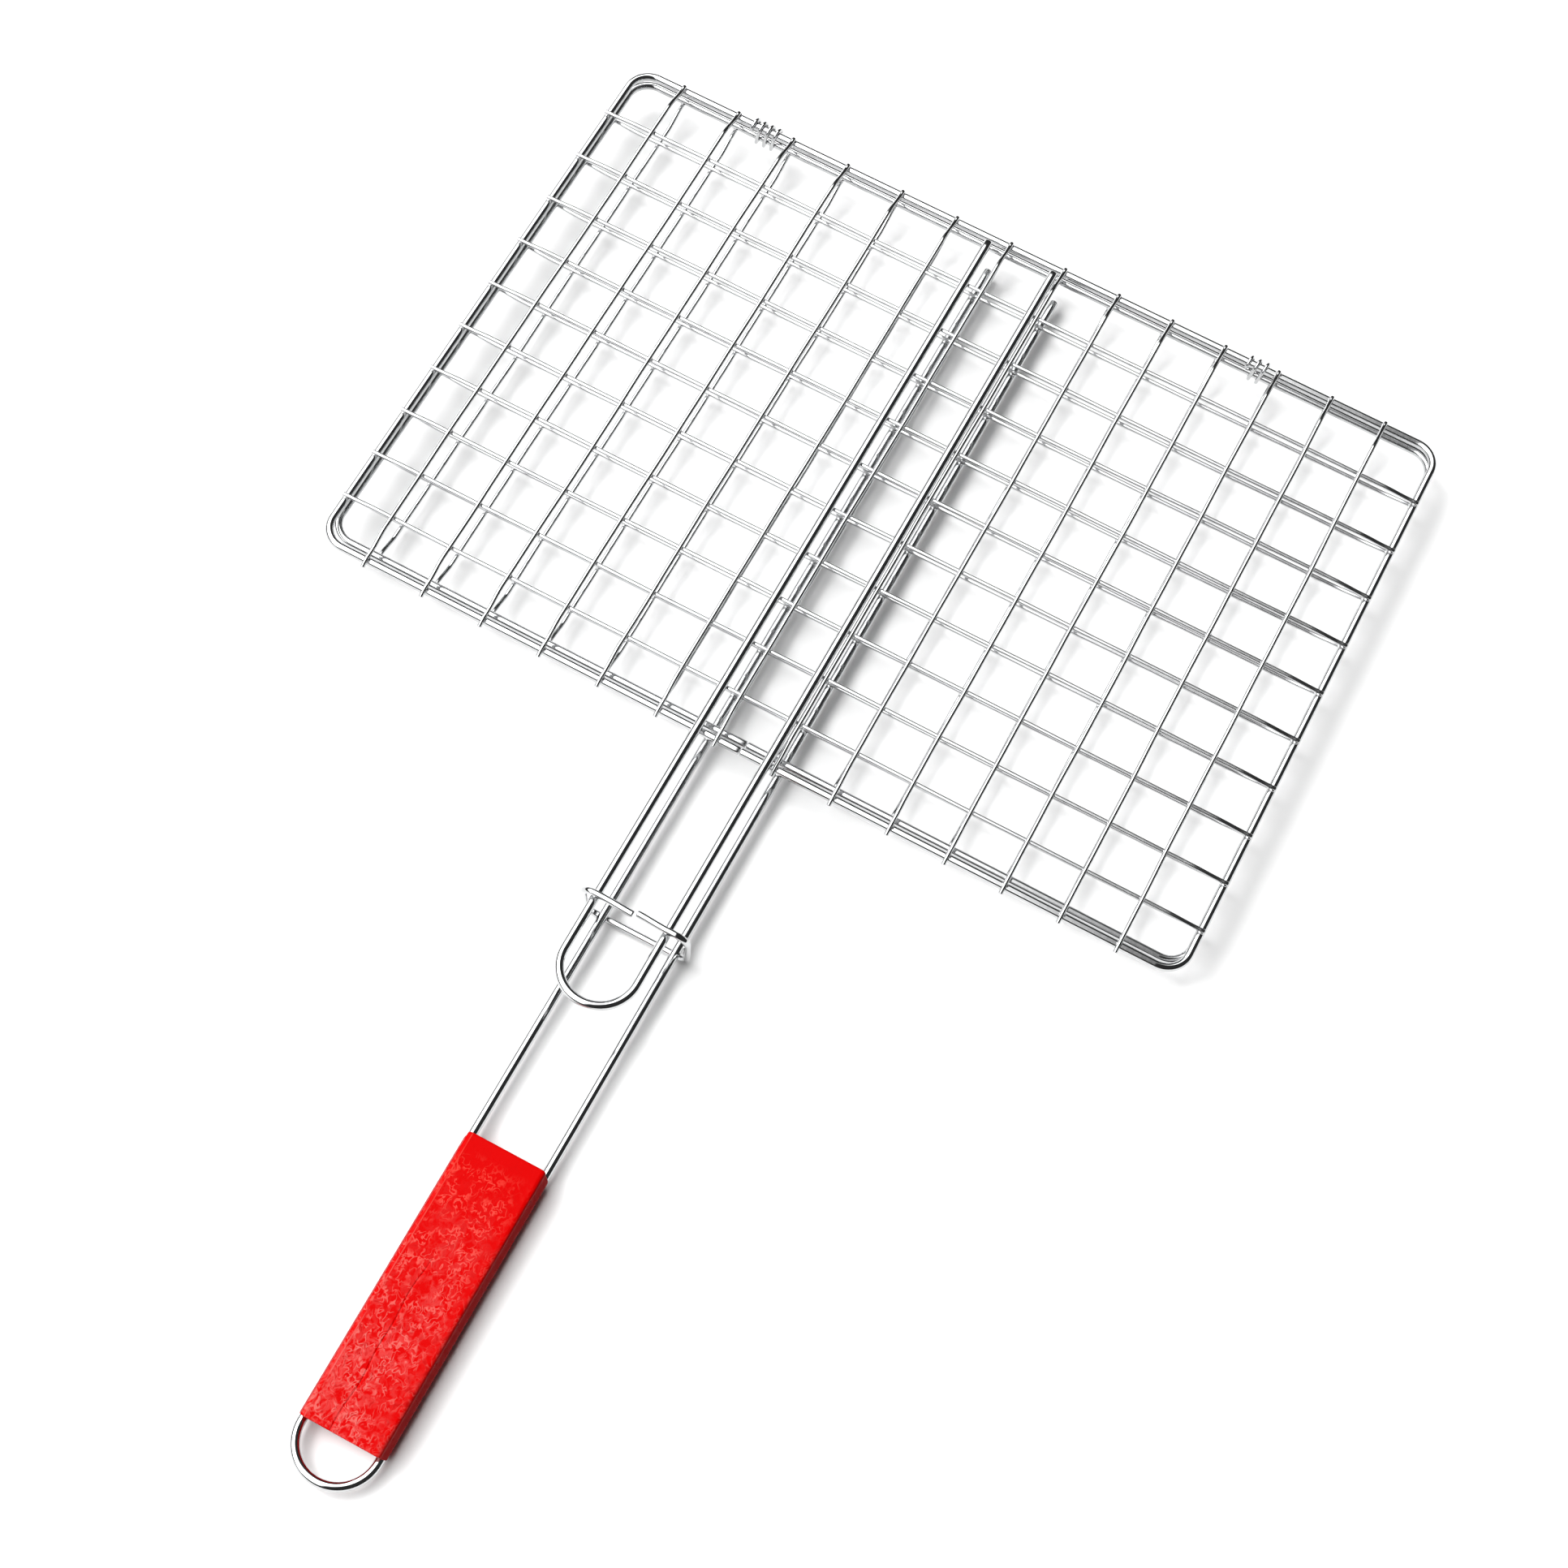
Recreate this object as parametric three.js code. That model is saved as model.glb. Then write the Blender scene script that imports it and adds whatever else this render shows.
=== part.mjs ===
// A hinged wire grill basket: two shallow wire panels that close over the food, a short U-shaped rod
// on the lid, a long U-shaped rod with a wooden grip and a hanging loop on the lower panel, two coiled
// clips as hinges, and a sliding ring that locks the two rods together.
// Millimetres, +Z up, +Y from the handle to the hinge side. The panels meet at the height z = 0 and
// the hinge line runs along X at y = 0 until the last lines move the origin under the middle.

import * as THREE from 'three';

// Wire thicknesses
const frameWire = 3.2;
const meshWire = 1.7;
const rodWire = 3.4;
const ringWire = 2.6;
const clipWire = 1.4;

// Panels
const basketWidth = 350; // outside, across the frames
const basketDepth = 238; // outside, hinge side to handle side of the lower frame
const lidReach = 5.5; // how much further the lid's front wire reaches towards the handle
const frameSpacing = 5.6; // between the centres of the two frame wires, one above the other
const cornerBend = 9; // bend radius of the frame corners, to the wire's centre
const longWireCount = 14;
const crossWireCount = 10;
const leftCell = 20; // left frame side to the first long wire
const lidBow = 4.2; // the lid's middle long wires stand this far right of an even spread
const lowerBow = 1.7; // and the lower panel's
const frontCell = 15.2; // last cross wire to the handle side of the lower frame
const crossWireCrowding = 0.07; // cells are this share longer at the hinge, shorter at the handle
const crossWireShift = 2.5; // lid cross wires sit nearer the handle, lower ones nearer the hinge
const meshRise = 0.6; // cross wires bow outwards by this much between the frame sides
const slopeRun = 11; // length over which a mesh wire climbs from the frame to its own level
const seatRun = 2; // flat stretch of a mesh wire where it lies on the frame
const hingeEndReach = 0.5; // how far a mesh wire runs past the centre of the hinge-side wire
const endReach = 1.2; // and past the centre of the other frame wires
const lidFrontEndReach = 3.6; // but the lid's long wires stick out over its front wire

// Rods, grip and ring. A reach is measured from the front side of the lid towards the handle.
const rodHingeInset = 6; // both rods stop this far short of the hinge line
const handleRodSpacing = 28.8; // between the centres of the two legs
const handleRodOffset = 0.25; // the handle rod stands a little right of the middle
const lidRodNarrowing = 0.8; // the lid rod's legs stand this much closer, inside the same ring
const lidRodOffset = -2.7; // the lid rod stands a little left of the middle
const lidRodReach = 111.1; // to the outside of the U end
const gripReach = 164.1; // to the near end of the grip
const gripLength = 108;
const loopReach = 0.6; // straight rod between the grip and the half circle of the loop
const gripEdgeWidth = 1.1; // rod centres to the sides of the grip
const gripThickness = 12;
const gripRodHeight = 4.8; // rod centres above the underside of the grip
const gripEdgeRadius = 1.6;
const grooveClearance = 0.3; // around the rods in the grooves of the grip
const ringReach = 74.1;
const ringPlay = 0.6; // free play of the lid rod under the top of the ring
const ringSidePlay = 1.6; // and of the rods between its sides
const ringLean = 2; // its bottom stands this much nearer the basket than its top
const ringMouth = 1; // gap between the two ends of the ring's wire

// Hinge clips. Each stands between two long wires, from 0 in the middle to 1 against the right one.
const clips = [
  { name: 'hinge_clip_left', longWireBefore: 2, lean: 0.22, turns: 3.5 },
  { name: 'hinge_clip_right', longWireBefore: 11, lean: 0.66, turns: 2.5 },
];
const clipPitch = 3.3; // one turn to the next, along the hinge line
const clipPlay = 0.35; // free play of the frame wires inside the coil

const contactGap = 0.3; // kept between pieces that are welded or lie on each other

// Roundness of the wires
const thinSides = 6;
const thickSides = 8;
const bendSteps = 6; // stations in a quarter turn
const coilSteps = 12; // stations round the bends of one turn of a coil

// Levels above the middle, the same for the lid above it and the lower panel below it
const frameLevel = frameSpacing / 2;
const seatLevel = frameLevel + (frameWire + meshWire) / 2 + contactGap;
const crossLevel = seatLevel + meshRise;
const longLevel = crossLevel + meshWire + contactGap;
const rodLevel = crossLevel + (meshWire + rodWire) / 2 + contactGap;

// Distances from the hinge line
const lidFront = basketDepth + lidReach - frameWire / 2;
const gripStart = lidFront + gripReach;

// The legs of the two rods, across the panels
const handleLegs = [handleRodOffset - handleRodSpacing / 2, handleRodOffset + handleRodSpacing / 2];
const lidRodSpacing = handleRodSpacing - lidRodNarrowing;
const lidLegs = [lidRodOffset - lidRodSpacing / 2, lidRodOffset + lidRodSpacing / 2];

const chrome = { color: 0xd5d8dc, roughness: 0.18, metalness: 1 };
const redPaint = { color: 0xd61a12, roughness: 0.35, metalness: 0 };

/** A path through fixed stations, with each section square to the bend at its station. */
class BentPath extends THREE.Curve {
  constructor(stations) {
    super();
    this.stations = stations;
    this.last = stations.length - 1;
  }

  getUtoTmapping(u) {
    return u;
  }

  getPoint(t) {
    const place = Math.min(Math.max(t, 0), 1) * this.last;
    const before = Math.min(Math.floor(place), this.last - 1);
    return this.stations[before].clone().lerp(this.stations[before + 1], place - before);
  }

  getSpacedPoints() {
    return this.stations.map((station) => station.clone());
  }

  getTangent(t) {
    const here = Math.round(t * this.last);
    const arriving = this.direction(Math.max(here, 1));
    const leaving = this.direction(Math.min(here + 1, this.last));
    return arriving.add(leaving).normalize();
  }

  direction(station) {
    return this.stations[station].clone().sub(this.stations[station - 1]).normalize();
  }
}

/** Stations along straight runs between corners, with every inner corner bent to a round arc. */
function bend(corners, radius, steps) {
  const stations = [corners[0]];
  for (let i = 1; i < corners.length - 1; i += 1) {
    const inward = corners[i].clone().sub(corners[i - 1]).normalize();
    const outward = corners[i + 1].clone().sub(corners[i]).normalize();
    const turn = inward.angleTo(outward);
    const towardsCentre = outward.clone().sub(inward).normalize();
    const centre = corners[i].clone().addScaledVector(towardsCentre, radius / Math.cos(turn / 2));
    const start = corners[i].clone().addScaledVector(inward, -radius * Math.tan(turn / 2));
    const spoke = start.clone().sub(centre);
    for (let step = 0; step <= steps; step += 1) {
      const angle = (turn * step) / steps;
      const station = centre.clone().addScaledVector(spoke, Math.cos(angle));
      stations.push(station.addScaledVector(inward, radius * Math.sin(angle)));
    }
  }
  stations.push(corners[corners.length - 1]);
  return stations;
}

/** A round wire along the stations, as a closed solid with flat ends. */
function wire(stations, thickness, sides) {
  const section = new THREE.Shape();
  for (let side = 0; side < sides; side += 1) {
    const angle = (2 * Math.PI * side) / sides;
    const x = (thickness / 2) * Math.cos(angle);
    const y = (thickness / 2) * Math.sin(angle);
    if (side === 0) section.moveTo(x, y);
    else section.lineTo(x, y);
  }
  section.closePath();
  return new THREE.ExtrudeGeometry(section, {
    steps: stations.length - 1,
    extrudePath: new BentPath(stations),
  });
}

function piece(name, geometry, finish) {
  const mesh = new THREE.Mesh(geometry, new THREE.MeshStandardMaterial(finish));
  mesh.name = name;
  return mesh;
}

function twoDigits(number) {
  return String(number).padStart(2, '0');
}

/**
 * The frame: one wire bent round four corners, its ends butted in the middle of the handle side.
 * up is 1 for the lid and -1 for the lower panel.
 */
function frame(depth, up) {
  const side = (basketWidth - frameWire) / 2;
  const front = -(depth - frameWire);
  const z = up * frameLevel;
  const corners = [
    new THREE.Vector3(contactGap / 2, front, z),
    new THREE.Vector3(side, front, z),
    new THREE.Vector3(side, 0, z),
    new THREE.Vector3(-side, 0, z),
    new THREE.Vector3(-side, front, z),
    new THREE.Vector3(-contactGap / 2, front, z),
  ];
  return wire(bend(corners, cornerBend, bendSteps), frameWire, thickSides);
}

/**
 * A mesh wire that lies on two frame wires, with their centres at start and end, and climbs to its own
 * level in between. It runs past the two centres by the two reaches.
 */
function meshRun(start, end, [startReach, farReach], level, up) {
  const along = end.clone().sub(start).normalize();
  const fromStart = (run, height) => start.clone().addScaledVector(along, run).setZ(up * height);
  const fromEnd = (run, height) => end.clone().addScaledVector(along, -run).setZ(up * height);
  const stations = [
    fromStart(-startReach, seatLevel),
    fromStart(seatRun, seatLevel),
    fromStart(seatRun + slopeRun, level),
    fromEnd(seatRun + slopeRun, level),
    fromEnd(seatRun, seatLevel),
    fromEnd(-farReach, seatLevel),
  ];
  return wire(stations, meshWire, thinSides);
}

/**
 * Places of the long wires across the panel, bowed to the right in the middle. A wire that would run
 * into a rod leg stands aside, because both lie on the cross wires.
 */
function longWirePlaces(bow, legs) {
  const side = (basketWidth - frameWire) / 2;
  const cells = longWireCount - 1;
  const cell = (2 * side - leftCell) / longWireCount;
  const clear = (meshWire + rodWire) / 2 + contactGap;
  const places = [];
  for (let i = 0; i < longWireCount; i += 1) {
    const place = -side + leftCell + cell * i + bow * Math.sin((Math.PI * i) / cells);
    const near = legs.find((leg) => Math.abs(place - leg) < clear);
    if (near === undefined) places.push(place);
    else places.push(place < near ? near - clear : near + clear);
  }
  return places;
}

const lidLongWires = longWirePlaces(lidBow, lidLegs);
const lowerLongWires = longWirePlaces(lowerBow, handleLegs);

/** Distances from the hinge line to the cross wires, crowding together towards the handle. */
function crossWirePlaces() {
  const meanCell = (basketDepth - frameWire - frontCell) / crossWireCount;
  const middleCell = (crossWireCount - 1) / 2;
  const places = [];
  let place = 0;
  for (let cell = 0; cell < crossWireCount; cell += 1) {
    place += meanCell * (1 + crossWireCrowding * (1 - cell / middleCell));
    places.push(place);
  }
  return places;
}

/** Frame, long wires and cross wires of one panel. */
function panel(prefix, depth, longWires, frontEndReach, up) {
  const parts = new THREE.Group();
  parts.add(piece(`${prefix}_frame`, frame(depth, up), chrome));

  const side = (basketWidth - frameWire) / 2;
  const front = -(depth - frameWire);
  longWires.forEach((x, i) => {
    const start = new THREE.Vector3(x, 0, 0);
    const end = new THREE.Vector3(x, front, 0);
    const run = meshRun(start, end, [hingeEndReach, frontEndReach], longLevel, up);
    parts.add(piece(`${prefix}_long_wire_${twoDigits(i + 1)}`, run, chrome));
  });

  crossWirePlaces().forEach((place, i) => {
    const y = -place - up * crossWireShift;
    const start = new THREE.Vector3(-side, y, 0);
    const end = new THREE.Vector3(side, y, 0);
    const run = meshRun(start, end, [endReach, endReach], crossLevel, up);
    parts.add(piece(`${prefix}_cross_wire_${twoDigits(i + 1)}`, run, chrome));
  });
  return parts;
}

/** A rod bent to a U: two straight legs from the hinge side and a half circle at the handle end. */
function uRod(name, [left, right], centreEnd, up) {
  const z = up * rodLevel;
  const corners = [
    new THREE.Vector3(left, -rodHingeInset, z),
    new THREE.Vector3(left, -centreEnd, z),
    new THREE.Vector3(right, -centreEnd, z),
    new THREE.Vector3(right, -rodHingeInset, z),
  ];
  return piece(name, wire(bend(corners, (right - left) / 2, bendSteps), rodWire, thickSides), chrome);
}

/**
 * The wooden grip: a flat slat with eased edges and a groove along each side that holds the rod. The
 * mouth of a groove is narrower than the rod, which stands a little proud of the side.
 * Drawn across the rods, with its height measured from the rod centres, and extruded along them.
 */
function grip() {
  const grooveRadius = rodWire / 2 + grooveClearance;
  const grooveX = handleRodSpacing / 2;
  const halfWidth = grooveX + gripEdgeWidth;
  const mouth = Math.acos(gripEdgeWidth / grooveRadius);
  const bottom = -gripRodHeight;
  const top = gripThickness - gripRodHeight;
  const r = gripEdgeRadius;
  const quarter = Math.PI / 2;
  const slat = new THREE.Shape();
  slat.moveTo(-halfWidth + r, bottom);
  slat.absarc(halfWidth - r, bottom + r, r, -quarter, 0, false);
  slat.absarc(grooveX, 0, grooveRadius, -mouth, mouth, true);
  slat.absarc(halfWidth - r, top - r, r, 0, quarter, false);
  slat.absarc(-halfWidth + r, top - r, r, quarter, 2 * quarter, false);
  slat.absarc(-grooveX, 0, grooveRadius, 2 * quarter - mouth, 2 * quarter + mouth, true);
  slat.absarc(-halfWidth + r, bottom + r, r, 2 * quarter, 3 * quarter, false);
  const shape = { depth: gripLength, bevelEnabled: false, curveSegments: coilSteps };
  const mesh = piece('grip', new THREE.ExtrudeGeometry(slat, shape), redPaint);
  mesh.rotation.x = quarter;
  mesh.position.set(handleRodOffset, -gripStart, -rodLevel);
  return mesh;
}

/** The locking ring: a wire bent round all four rod legs, its corners round them, its ends on top. */
function lockingRing() {
  const reach = (rodWire + ringWire) / 2;
  const sideMargin = reach + ringSidePlay;
  const left = Math.min(...handleLegs, ...lidLegs) - sideMargin;
  const right = Math.max(...handleLegs, ...lidLegs) + sideMargin;
  const bottom = -rodLevel - reach - contactGap;
  const top = bottom + 2 * (rodLevel + reach + ringPlay);
  const middle = (left + right) / 2;
  const corners = [
    new THREE.Vector3(middle + ringMouth / 2, 0, top),
    new THREE.Vector3(right, 0, top),
    new THREE.Vector3(right, ringLean, bottom),
    new THREE.Vector3(left, ringLean, bottom),
    new THREE.Vector3(left, 0, top),
    new THREE.Vector3(middle - ringMouth / 2, 0, top),
  ];
  const mesh = piece('locking_ring', wire(bend(corners, sideMargin, bendSteps), ringWire, thickSides), chrome);
  mesh.position.y = -lidFront - ringReach;
  return mesh;
}

/**
 * A hinge clip: an open coil of thin wire wound in an oval round both hinge-side frame wires. A turn is
 * a half circle over the lid's wire and one under the lower wire, with straight runs in between.
 */
function hingeClip({ name, longWireBefore, lean, turns }) {
  const radius = (frameWire + clipWire) / 2 + clipPlay;
  const bendShare = (Math.PI * radius) / (Math.PI * radius + frameSpacing);
  const halfTurns = 2 * turns;
  const coilLength = (clipPitch / 2) * (halfTurns - 1 + bendShare);
  const stations = [];
  for (let half = 0; half < halfTurns; half += 1) {
    const over = half % 2 === 0 ? 1 : -1;
    for (let step = 0; step <= coilSteps / 2; step += 1) {
      const share = step / (coilSteps / 2);
      const x = (clipPitch / 2) * (half + bendShare * share) - coilLength / 2;
      const y = -over * radius * Math.cos(Math.PI * share);
      const z = over * (frameLevel + radius * Math.sin(Math.PI * share));
      stations.push(new THREE.Vector3(x, y, z));
    }
  }
  const before = Math.max(lidLongWires[longWireBefore - 1], lowerLongWires[longWireBefore - 1]);
  const after = Math.min(lidLongWires[longWireBefore], lowerLongWires[longWireBefore]);
  const room = after - before - meshWire - 2 * contactGap - coilLength - clipWire;
  const mesh = piece(name, wire(stations, clipWire, thinSides), chrome);
  mesh.position.x = (before + after + lean * room) / 2;
  return mesh;
}

const lid = panel('upper', basketDepth + lidReach, lidLongWires, lidFrontEndReach, 1);
lid.add(uRod('lid_rod', lidLegs, lidFront + lidRodReach - rodWire / 2, 1));

const base = panel('lower', basketDepth, lowerLongWires, endReach, -1);
const handleEnd = gripStart + gripLength + loopReach + handleRodSpacing / 2;
base.add(uRod('handle_rod', handleLegs, handleEnd, -1));
base.add(grip());
clips.forEach((clip) => base.add(hingeClip(clip)));

const basket = new THREE.Group();
basket.add(base, lid, lockingRing());

// The origin lies in the middle of the footprint, at the height of the lowest point.
const bounds = new THREE.Box3().setFromObject(basket);
const middle = bounds.getCenter(new THREE.Vector3());
basket.position.set(-middle.x, -middle.y, -bounds.min.z);

export default basket;
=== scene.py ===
import math

import bpy
import numpy as np
from bpy.props import FloatProperty, FloatVectorProperty, IntProperty, PointerProperty
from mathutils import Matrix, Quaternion, Vector


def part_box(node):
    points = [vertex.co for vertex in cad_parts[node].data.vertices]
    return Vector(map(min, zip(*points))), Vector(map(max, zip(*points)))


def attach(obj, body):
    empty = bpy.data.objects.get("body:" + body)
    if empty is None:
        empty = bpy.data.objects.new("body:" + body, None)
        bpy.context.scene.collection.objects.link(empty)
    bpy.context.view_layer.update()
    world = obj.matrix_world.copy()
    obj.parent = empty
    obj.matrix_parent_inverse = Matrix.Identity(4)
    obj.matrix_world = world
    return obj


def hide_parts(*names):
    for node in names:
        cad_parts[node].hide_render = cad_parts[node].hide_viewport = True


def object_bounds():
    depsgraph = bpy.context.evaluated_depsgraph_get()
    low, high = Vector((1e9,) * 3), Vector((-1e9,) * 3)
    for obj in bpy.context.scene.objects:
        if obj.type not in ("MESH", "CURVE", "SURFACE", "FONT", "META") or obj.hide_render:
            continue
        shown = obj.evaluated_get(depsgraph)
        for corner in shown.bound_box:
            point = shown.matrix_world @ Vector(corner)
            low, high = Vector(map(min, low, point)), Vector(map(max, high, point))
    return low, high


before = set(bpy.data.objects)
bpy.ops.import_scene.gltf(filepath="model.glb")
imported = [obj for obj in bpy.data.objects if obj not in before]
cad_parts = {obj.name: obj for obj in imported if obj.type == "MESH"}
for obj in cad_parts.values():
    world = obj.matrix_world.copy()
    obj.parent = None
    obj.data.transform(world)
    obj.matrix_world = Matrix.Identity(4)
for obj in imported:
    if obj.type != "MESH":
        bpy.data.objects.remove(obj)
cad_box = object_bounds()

bl_info = {
    "name": "Grill Basket",
    "version": (1, 0, 0),
    "blender": (4, 5, 0),
    "location": "View3D > Sidebar > Grill Basket",
    "description": "Hinged wire grill basket with a red wooden grip, built round its packed frame",
    "category": "Add Mesh",
}

MM = 0.001

# The three bodies that move against each other
LOWER = "lower_panel"
UPPER = "upper_panel"
RING = "ring"

# The panels, each with its body, the start of its node names, and the side that its mesh lies on
PANELS = (
    {"body": LOWER, "prefix": "lower", "up": -1.0},
    {"body": UPPER, "prefix": "upper", "up": 1.0},
)
LONG_WIRES = 14
CROSS_WIRES = 10

# Longest step along a frame or rod, the ring and a clip
FRAME_STEP = 4 * MM
RING_STEP = 1 * MM
CLIP_STEP = 0.8 * MM

# The frames are open in the middle of the handle side, and the ring is open on top. The ring's two
# ends bend apart along Y over their last stretch.
FRAME_MOUTH = 0.3 * MM
RING_MOUTH = 1 * MM
RING_END_LEAD = 0.5 * MM
RING_END_RUN = 12 * MM

# Distance along X from one turn of a hinge clip to the next, and faces round its wire
CLIP_PITCH = 3.3 * MM
CLIP_SIDES = 16

# How far the lid's long wires dip for each unit that they reach past the front wire
FRONT_DIP = 0.55

# Half sizes of the welds in thicknesses of the mesh wire, and their scatter in size and place
WELD_ON_WIRE = np.array([0.62, 0.62, 0.30])
WELD_ACROSS = np.array([0.75, 0.7, 0.32])
WELD_ALONG = np.array([0.7, 0.75, 0.32])
WELD_SCATTER = 0.16
WELD_SHIFT = 0.12 * MM

# The grip's ends: size of their rounding, and the stretch over which they are cut under
GRIP_RIM = 0.7 * MM
GRIP_END_REACH = 8 * MM

# The crack in the grip: how far left of the middle, its half width and its depth
CRACK_LEFT = -3.4 * MM
CRACK_WIDTH = 0.2 * MM
CRACK_DEPTH = 0.32 * MM

# Roughness and strength of the stains of each kind of plate
PLATES = {
    "chromed_rod": (0.045, 0.35),
    "mesh_wire": (0.07, 0.6),
    "clip_wire": (0.06, 0.5),
    "weld": (0.16, 0.9),
}

# Where the soft light fades from nothing to its full strength: its left and right edges as angles
# from straight up, positive to the right, its back and front edges as shares along Y
LIGHT_LEFT = (math.radians(-66), math.radians(-56))
LIGHT_RIGHT = (math.radians(3), math.radians(-12))
LIGHT_BACK = (0.62, 0.55)
LIGHT_FRONT = (-0.86, -0.70)

KEY_DIRECTION = (-0.62, 0.02, 0.78)
KEY_ANGLE = math.radians(18)
FLOOR_REACH = 30.0
FLOOR_DROP = 0.2 * MM

# The camera looks at a point this far right of the middle and this far in front of the hinge line
AIM_RIGHT = 0.0191
AIM_BEFORE_HINGE = 0.2426


def box_of(node):
    """Lowest and highest corner of a frame node as two arrays."""
    low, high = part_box(node)
    return np.array(low), np.array(high)


def middle_of(node):
    low, high = box_of(node)
    return (low + high) / 2


# ---------------------------------------------------------------- sizes and finishes


class BasketSizes(bpy.types.PropertyGroup):
    """Thicknesses and small shapes of the wires, the ring, the clips and the grip."""

    frame_wire: FloatProperty(
        name="Frame wire",
        description="Thickness of the wire bent round each panel",
        default=3.2 * MM, min=1 * MM, unit="LENGTH", subtype="DISTANCE",
    )
    mesh_wire: FloatProperty(
        name="Mesh wire",
        description="Thickness of the long and cross wires",
        default=1.7 * MM, min=0.5 * MM, unit="LENGTH", subtype="DISTANCE",
    )
    rod_wire: FloatProperty(
        name="Rod",
        description="Thickness of the handle rod and the lid rod",
        default=3.4 * MM, min=1 * MM, unit="LENGTH", subtype="DISTANCE",
    )
    ring_wire: FloatProperty(
        name="Ring wire",
        description="Thickness of the locking ring",
        default=2.6 * MM, min=1 * MM, unit="LENGTH", subtype="DISTANCE",
    )
    clip_wire: FloatProperty(
        name="Clip wire",
        description="Thickness of the coiled hinge clips",
        default=1.4 * MM, min=0.5 * MM, unit="LENGTH", subtype="DISTANCE",
    )
    corner_bend: FloatProperty(
        name="Corner bend",
        description="Bend radius of the frame corners, to the middle of the wire",
        default=9 * MM, min=4 * MM, unit="LENGTH", subtype="DISTANCE",
    )
    mesh_rise: FloatProperty(
        name="Mesh rise",
        description="Height that a cross wire climbs from its seat on the frame",
        default=0.6 * MM, min=0, unit="LENGTH", subtype="DISTANCE",
    )
    seat_run: FloatProperty(
        name="Seat run",
        description="Flat stretch of a mesh wire inside the frame wire that it lies on",
        default=2 * MM, min=0, unit="LENGTH", subtype="DISTANCE",
    )
    slope_run: FloatProperty(
        name="Slope run",
        description="Length over which a mesh wire climbs to its own level",
        default=11 * MM, min=1 * MM, unit="LENGTH", subtype="DISTANCE",
    )
    ring_side_play: FloatProperty(
        name="Ring side play",
        description="Free play of the rods between the sides of the ring",
        default=1.6 * MM, min=0, unit="LENGTH", subtype="DISTANCE",
    )
    weld_gap: FloatProperty(
        name="Weld gap",
        description="Space between two welded wires that the weld fills",
        default=0.3 * MM, min=0, unit="LENGTH", subtype="DISTANCE",
    )
    grip_edge: FloatProperty(
        name="Grip edge",
        description="Radius of the eased long edges of the grip",
        default=1.6 * MM, min=0.2 * MM, unit="LENGTH", subtype="DISTANCE",
    )
    grip_slope: FloatProperty(
        name="Grip slope",
        description="How much narrower the top of the grip is than its frame solid, on each side",
        default=0.5 * MM, min=0, unit="LENGTH", subtype="DISTANCE",
    )
    grip_swell: FloatProperty(
        name="Grip swell",
        description="How far each side of the grip swells over the rod inside it",
        default=1.3 * MM, min=0, unit="LENGTH", subtype="DISTANCE",
    )
    grip_undercut: FloatProperty(
        name="Grip undercut",
        description="How much shorter the underside of the grip is at each end",
        default=2 * MM, min=0, max=6 * MM, unit="LENGTH", subtype="DISTANCE",
    )
    wander: FloatProperty(
        name="Wander",
        description="How far a mesh wire strays from a straight line",
        default=0.22 * MM, min=0, unit="LENGTH", subtype="DISTANCE",
    )
    wire_sides: IntProperty(
        name="Wire sides",
        description="Faces round a mesh wire",
        default=14, min=6, max=32,
    )
    rod_sides: IntProperty(
        name="Rod sides",
        description="Faces round the frames, the rods and the ring",
        default=28, min=8, max=48,
    )


class BasketFinishes(bpy.types.PropertyGroup):
    """Colours and gloss of the chrome plate and the paint."""

    chrome: FloatVectorProperty(
        name="Chrome",
        description="Colour of the bright plate",
        default=(0.57, 0.575, 0.58), min=0, max=1, subtype="COLOR",
    )
    chrome_dull: FloatVectorProperty(
        name="Dull chrome",
        description="Colour of the plate where it is thin or stained",
        default=(0.42, 0.424, 0.43), min=0, max=1, subtype="COLOR",
    )
    weld: FloatVectorProperty(
        name="Weld",
        description="Colour of the plate over the welds",
        default=(0.62, 0.62, 0.63), min=0, max=1, subtype="COLOR",
    )
    paint: FloatVectorProperty(
        name="Paint",
        description="Red of the grip",
        default=(0.48, 0.0006, 0.0006), min=0, max=1, subtype="COLOR",
    )
    # Painted reflection: this paler, pinker red stands for light reflected in the glossy paint towards
    # the loop end.
    painted_reflection: FloatVectorProperty(
        name="Paler paint",
        description="Red where the paint is rubbed, towards the loop",
        default=(0.54, 0.040, 0.037), min=0, max=1, subtype="COLOR",
    )
    paint_dark: FloatVectorProperty(
        name="Dark paint",
        description="Red where the paint lies thick in the grain",
        default=(0.40, 0.002, 0.002), min=0, max=1, subtype="COLOR",
    )
    # Painted shade: this dark red stands for the shade in the crack and down the sides and ends of the
    # grip.
    painted_shade: FloatVectorProperty(
        name="Shaded paint",
        description="Red in the crack and down the sides and ends of the grip",
        default=(0.20, 0.001, 0.001), min=0, max=1, subtype="COLOR",
    )
    # Painted highlight: this paler red on the ridges stands for the gloss that light picks out on the
    # crinkled paint.
    ridge_highlight: FloatVectorProperty(
        name="Ridges",
        description="Red of the fine ridges in the fresh paint",
        default=(0.72, 0.085, 0.060), min=0, max=1, subtype="COLOR",
    )
    # Painted highlight: this pinker red on the ridges towards the loop end stands for the gloss that
    # light picks out on them.
    loop_ridge_highlight: FloatVectorProperty(
        name="Pinker ridges",
        description="Red of the fine ridges in the rubbed paint",
        default=(0.62, 0.19, 0.165), min=0, max=1, subtype="COLOR",
    )


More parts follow.
